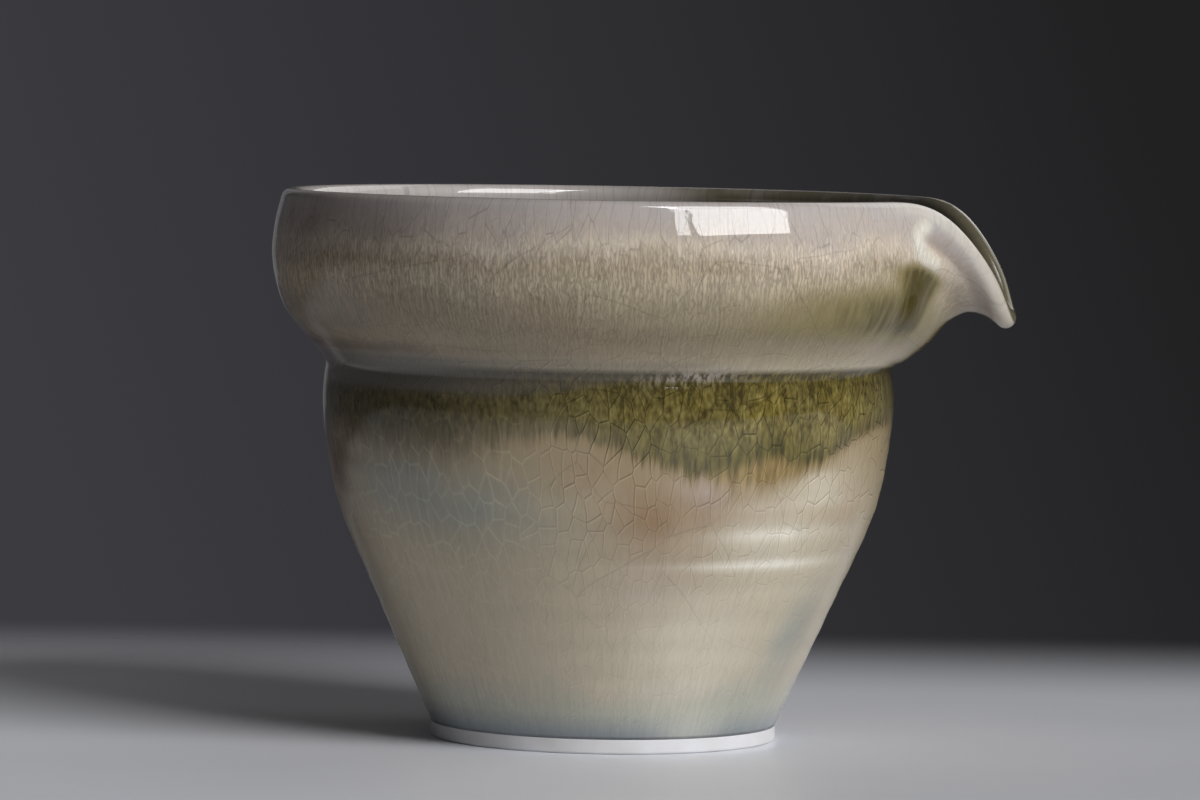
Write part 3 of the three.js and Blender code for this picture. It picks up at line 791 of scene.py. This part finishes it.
print("glaze coat")
angles = columnAngles()
outerShares = np.linspace(0, 1, meshing["outerRows"] + 1)
innerShares = np.linspace(floorShare, 1, meshing["innerRows"] + 1)
outerSeatShares = outerShares[::meshing["outerSeatEvery"]][:0:-1]
innerSeatShares = innerShares[::meshing["innerSeatEvery"]]
rimTurns = np.linspace(90, -90, meshing["rimRows"] + 1)[1:-1]
seatTurns = np.linspace(-90, 90, meshing["seatRimRows"] + 1)[1:-1]
rimClayRadius = wall["rimThickness"] / 2 - glaze["rimThickness"]
linerMiddle = wall["floorHeight"] - glaze["linerThickness"] - glaze["floorPoolThickness"]
# The coat's rings start in the middle of the floor: first its seat on the clay, up the inside and down the
# outside, then its face, up the outside and down the inside. Each part has its share, and 1 if it is inside.
seat = [
    (floorRings(angles, linerMiddle, innerSeat, meshing["seatFloorRows"]), floorShare, 1),
    (wallRings(angles, innerSeatShares, innerSeat), innerSeatShares, 1),
    (rimRings(angles, seatTurns, rimClayRadius), 1, 1),
    (wallRings(angles, outerSeatShares, outerSeat), outerSeatShares, 0),
]
coat = [
    (wallRings(angles, outerShares[:1], outerSeat), 0, 0),
    (wallRings(angles, outerShares[1:], outerFace), outerShares[1:], 0),
    (rimRings(angles, rimTurns, wall["rimThickness"] / 2 - wall["standIn"]), 1, (rimTurns < 0) * 1.0),
    (wallRings(angles, innerShares[::-1], innerFace), innerShares[::-1], 1),
    (floorRings(angles, wall["floorHeight"], innerFace, meshing["floorRows"])[::-1], floorShare, 1),
]
marks = []
for rings, share, inside in seat + coat:
    rows = np.zeros(len(rings))
    angle, share = np.meshgrid(angles, rows + share)
    marks.append(glazeMarks(angle, share, np.meshgrid(angles, rows + inside)[1]))
    if share[0, 0] == floorShare == share[-1, 0]:  # the floor's own rings
        marks[-1]["bottom"] += 1
attributes = {key: np.concatenate([part[key] for part in marks]) for key in marks[0]}
everyRing = np.concatenate([rings for rings, share, inside in seat + coat])
glazePiece = meshFromRings("glaze_coat", everyRing, glazeMaterial(), attributes)
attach(glazePiece, "root")
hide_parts("outer_glaze", "inner_glaze")

print("porcelain body")
bareAngles = columnAngles(meshing["bareColumnsEvery"])
glazeLine = wallRings(np.array([np.pi]), np.array([0.0]), outerSeat)[0, 0]
footRadius = -glazeLine[0]
recessRadius = footRadius - foot["ringWidth"]
recessEdge = recessRadius - foot["recessMargin"]
bevel, depth, dish = foot["bevel"], foot["recessDepth"], foot["recessDish"]
bevelTurns = np.radians(np.linspace(0, 90, meshing["bevelRows"] + 1))
recessShares = np.linspace(0, 1, meshing["recessRows"] + 1)
# From the middle of the dished recess, down its side and over both edges of the foot ring
recess = [[recessEdge * t, depth + dish * (1 - t * t)] for t in recessShares]
footProfile = [
    *recess,
    [recessRadius - bevel, depth - bevel / 2],
    [recessRadius, depth - bevel],
    *[[recessRadius + bevel * (1 - math.cos(a)), bevel * (1 - math.sin(a))] for a in bevelTurns],
    *[[footRadius - bevel * (1 - math.sin(a)), bevel * (1 - math.cos(a))] for a in bevelTurns],
]
bareEvery = meshing["bareRowsEvery"]
body = np.concatenate([
    lathedRings(bareAngles, footProfile),
    wallRings(bareAngles, outerShares[::bareEvery], outerSeat),
    rimRings(bareAngles, -seatTurns, rimClayRadius),
    wallRings(bareAngles, innerShares[::bareEvery][::-1], innerSeat),
    floorRings(bareAngles, linerMiddle, innerSeat, meshing["seatFloorRows"])[::-1],
])
bodyPiece = meshFromRings("clay_body", body, bisqueMaterial())
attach(bodyPiece, "root")
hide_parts("porcelain_body")

print("base glaze")
# A dished disc whose upper side lies in the recess
thick = foot["recessGlaze"]
under = [[(recessEdge - thick) * t, depth - thick + dish * (1 - t * t)] for t in recessShares]
disc = lathedRings(bareAngles, [*under, *recess[::-1]])
flat = np.zeros(disc.shape[:2])
marks = {key: flat for key in attributes}
marks |= {"inside": flat + 1, "bottom": flat + 1, "tone": flat + 1, "linerPool": flat + foot["recessPool"],
          "cellCrack": flat + foot["recessCells"], "crackTint": flat + flow["darkCrack"]}
basePiece = meshFromRings("base_coat", disc, glazePiece.data.materials[0], marks)
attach(basePiece, "root")
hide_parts("base_glaze")

print("table and light")
stage = {  # metres from the pot, degrees; the table's far edge lies square to the camera
    "width": 2.4, "front": 0.5, "frontFade": 0.4, "back": 0.155, "backFade": 0.1, "turn": 10,
    "colour": "#f2f3fa", "shadedRightColour": "#d5d6dd", "shadedOver": 0.22, "patchesPerMetre": 9,
    "roughness": 0.38, "backdrop": ["#3c3b40", "#212122"], "backdropLean": 0.35,
    "backdropEnds": (-0.11, 0.08), "world": 0.05,
}
table = bpy.data.objects.new("table", bpy.data.meshes.new("table"))
half, front, back = stage["width"] / 2, -stage["front"], stage["back"]
turned = Matrix.Rotation(math.radians(stage["turn"]), 3, "Z")
corners = [turned @ Vector(c) + Vector((axisX, 0, 0)) for c in
           ((-half, front, 0), (half, front, 0), (half, back, 0), (-half, back, 0))]
table.data.from_pydata([tuple(c) for c in corners], [], [(0, 1, 2, 3)])
bpy.context.scene.collection.objects.link(table)
# Satin white paint, cool, with painted shade darkening it towards the right, fading out at the table's front
# and back
tableMaterial, add = newMaterial("paintedTable")
place = add("TexCoord", out="Object")
depth = add("VectorMath", {0: place, 1: tuple(turned.col[1])}, out="Value", operation="DOT_PRODUCT")
faded = 0
for start, end in ((back - stage["backFade"], back), (front + stage["frontFade"], front)):
    fading = {"Value": depth, "From Min": start, "From Max": end}
    fading = add("MapRange", fading, interpolation_type="SMOOTHSTEP")
    faded = add("Math", {0: faded, 1: fading}, operation="MAXIMUM")
uneven = add("TexNoise", {"Vector": place, "Scale": stage["patchesPerMetre"], "Detail": 3})
# Painted shade: the paint darkens towards the right over the given width
sideways = add("VectorMath", {0: place, 1: tuple(turned.col[0])}, out="Value", operation="DOT_PRODUCT")
sideways = add("Math", {0: sideways, 1: 1 / stage["shadedOver"], 2: uneven}, operation="MULTIPLY_ADD")
paint = add("ValToRGB", {"Fac": sideways}, stops=[(0, stage["colour"]), (1, stage["shadedRightColour"])])
paint = add("BsdfPrincipled", {"Base Color": paint, "Roughness": stage["roughness"]})
clear = add("BsdfTransparent", {"Color": (1, 1, 1, 1)})
add("OutputMaterial", {"Surface": add("MixShader", {0: faded, 1: paint, 2: clear})})
table.data.materials.append(tableMaterial)

# The backdrop is dark grey, paler on the left and below; the light from all round is even and plain
world = bpy.data.worlds.new("studio")
bpy.context.scene.world = world
world.use_nodes = True
world.node_tree.nodes.clear()
add = partial(addNode, world.node_tree)
direction = add("TexCoord", out="Generated")
darker = turned.col[0] + Vector((0, 0, stage["backdropLean"]))  # to the right and a little upwards
toned = add("VectorMath", {0: direction, 1: tuple(darker)}, out="Value", operation="DOT_PRODUCT")
start, end = stage["backdropEnds"]
toned = add("MapRange", {"Value": toned, "From Min": start, "From Max": end})
tone = add("ValToRGB", {"Fac": toned}, stops=list(zip((0, 1), stage["backdrop"])))
seen = add("LightPath", out="Is Camera Ray")
for ray in ("Is Glossy Ray", "Is Transmission Ray"):
    seen = add("Math", {0: seen, 1: add("LightPath", out=ray)}, operation="MAXIMUM")
plain = add("Background", {"Color": (1, 1, 1, 1), "Strength": stage["world"]})
dark = add("Background", {"Color": tone, "Strength": 1})
add("OutputWorld", {"Surface": add("MixShader", {0: seen, 1: plain, 2: dark})})


# The window lights the pot and a weak lamp fills the shade on the right, unseen in reflections. The window's
# top and pane and the two cards are only seen in reflections.
lamps = {  # degrees round from the -Y side towards +X and up, metres away, width and height, radiance
    "window": (57, 31, 1.9, 1.12, 0.9, 10.6),
    "windowTop": (57, 55, 1.9, 1.12, 0.64, 10),
    "windowPane": (34.7, 39, 1.9, 0.14, 1.5, 9),
    "sideCard": (150, 33, 1.2, 0.9, 0.7, 1.2),
    "sideFill": (120, 25, 1.4, 0.8, 0.8, 0.8),
    "backCard": (-156, 10, 1.2, 0.3, 0.6, 0.1),
}
onlyReflected, neverReflected = ("windowTop", "windowPane", "sideCard", "backCard"), ("sideFill",)
aimHeight = 0.04  # metres up the pot


def addLight(name, azimuth, elevation, distance, width, height, radiance):
    # A rectangular lamp on a sphere round the pot, aimed at it. Its power is its radiance times its area
    # times pi.
    around, up = math.radians(azimuth), math.radians(elevation)
    away = Vector((math.sin(around) * math.cos(up), -math.cos(around) * math.cos(up), math.sin(up)))
    data = bpy.data.lights.new(name, "AREA")
    data.shape, data.size, data.size_y = "RECTANGLE", width, height
    data.energy = radiance * width * height * math.pi
    lamp = bpy.data.objects.new(name, data)
    lamp.location = away * distance + Vector((axisX, 0, aimHeight))
    lamp.rotation_euler = away.to_track_quat("Z", "Y").to_euler()
    lamp.visible_glossy, lamp.visible_diffuse = name not in neverReflected, name not in onlyReflected
    lamp.visible_camera = False
    bpy.context.scene.collection.objects.link(lamp)


for name, values in lamps.items():
    addLight(name, *values)

print("camera")
view = {  # degrees, mm
    "azimuth": 10, "distance": 829, "height": 90, "pitch": 3.18, "yaw": 0.075, "roll": 1.0,
    "focal": 191, "sensor": 36,
}
azimuth = math.radians(view["azimuth"])
camera = bpy.data.objects.new("camera", bpy.data.cameras.new("camera"))
camera.data.lens, camera.data.sensor_width = view["focal"], view["sensor"]
away = Vector((math.sin(azimuth) * view["distance"], -math.cos(azimuth) * view["distance"], view["height"]))
camera.location = away * mm + Vector((axisX, 0, 0))
facing = Matrix.Identity(3)
for turn, axis in ((view["azimuth"] + view["yaw"], "Z"), (90 - view["pitch"], "X"), (view["roll"], "Z")):
    facing = facing @ Matrix.Rotation(math.radians(turn), 3, axis)
camera.rotation_euler = facing.to_euler()
bpy.context.scene.collection.objects.link(camera)
bpy.context.scene.camera = camera
bpy.context.scene.view_settings.view_transform = "Standard"
